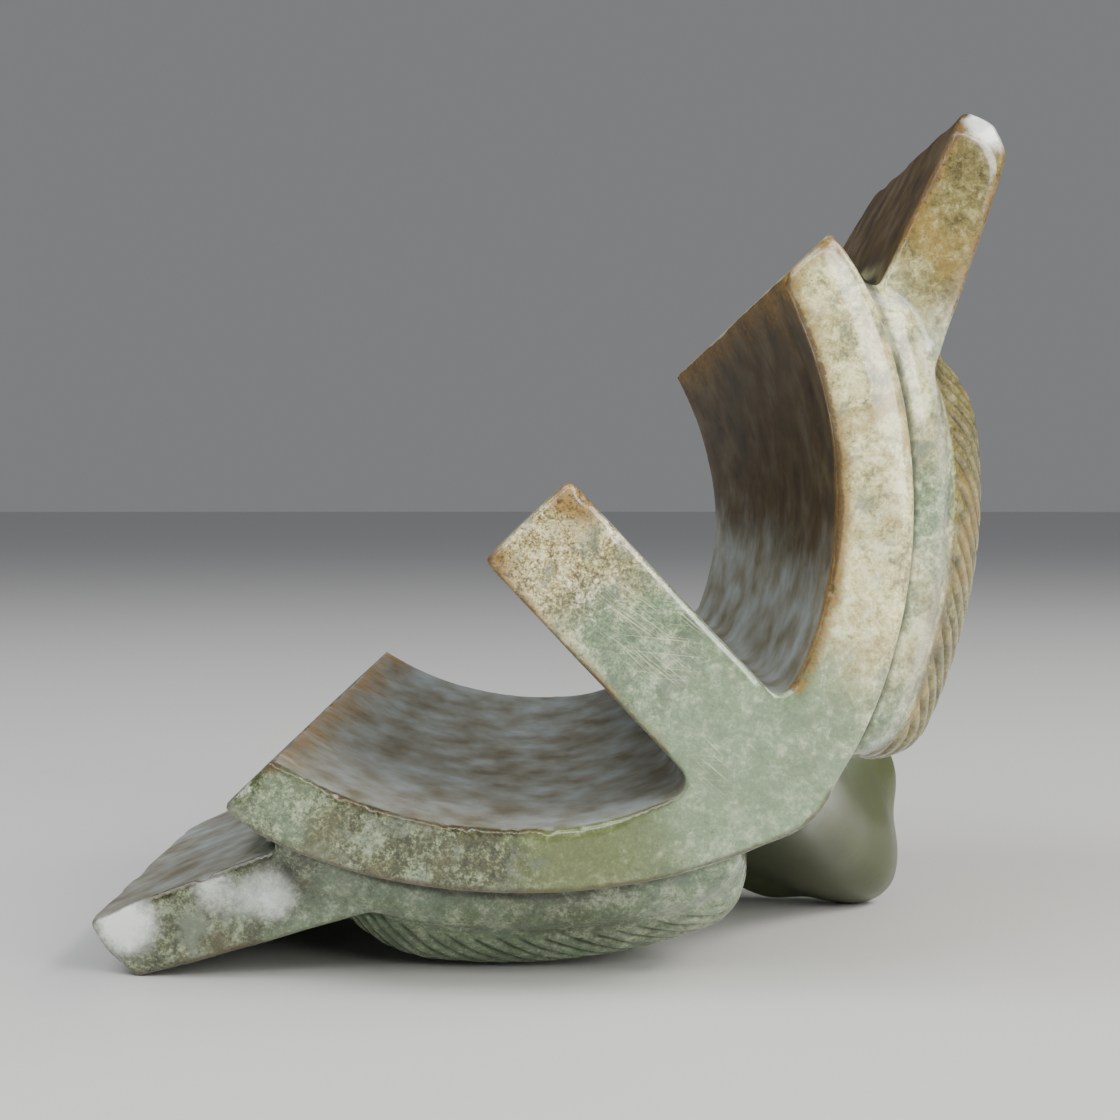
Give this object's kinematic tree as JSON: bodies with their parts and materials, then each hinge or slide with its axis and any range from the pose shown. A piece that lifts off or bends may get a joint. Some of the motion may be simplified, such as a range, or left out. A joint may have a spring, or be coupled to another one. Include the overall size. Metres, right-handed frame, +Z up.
{
  "type": "carved jade head",
  "caption": "Carved green stone head with a flat crown, thick brows, flange ears and two hollows cut in the back either side of a rib, lying on one ear and the nose.",
  "frame": {"origin": "middle of the base of the box round the head as it lies on the table", "axes": "+Z up; +Y along the head from its flat crown to its chin; the face is turned down towards +X"},
  "size_m": [0.0518, 0.06, 0.0485],
  "materials": {
    "jade": "polished nephrite, mottled pale green and buff, with russet edges"
  },
  "bodies": {
    "root": {"jade_head": "jade"}
  },
  "joints": []
}
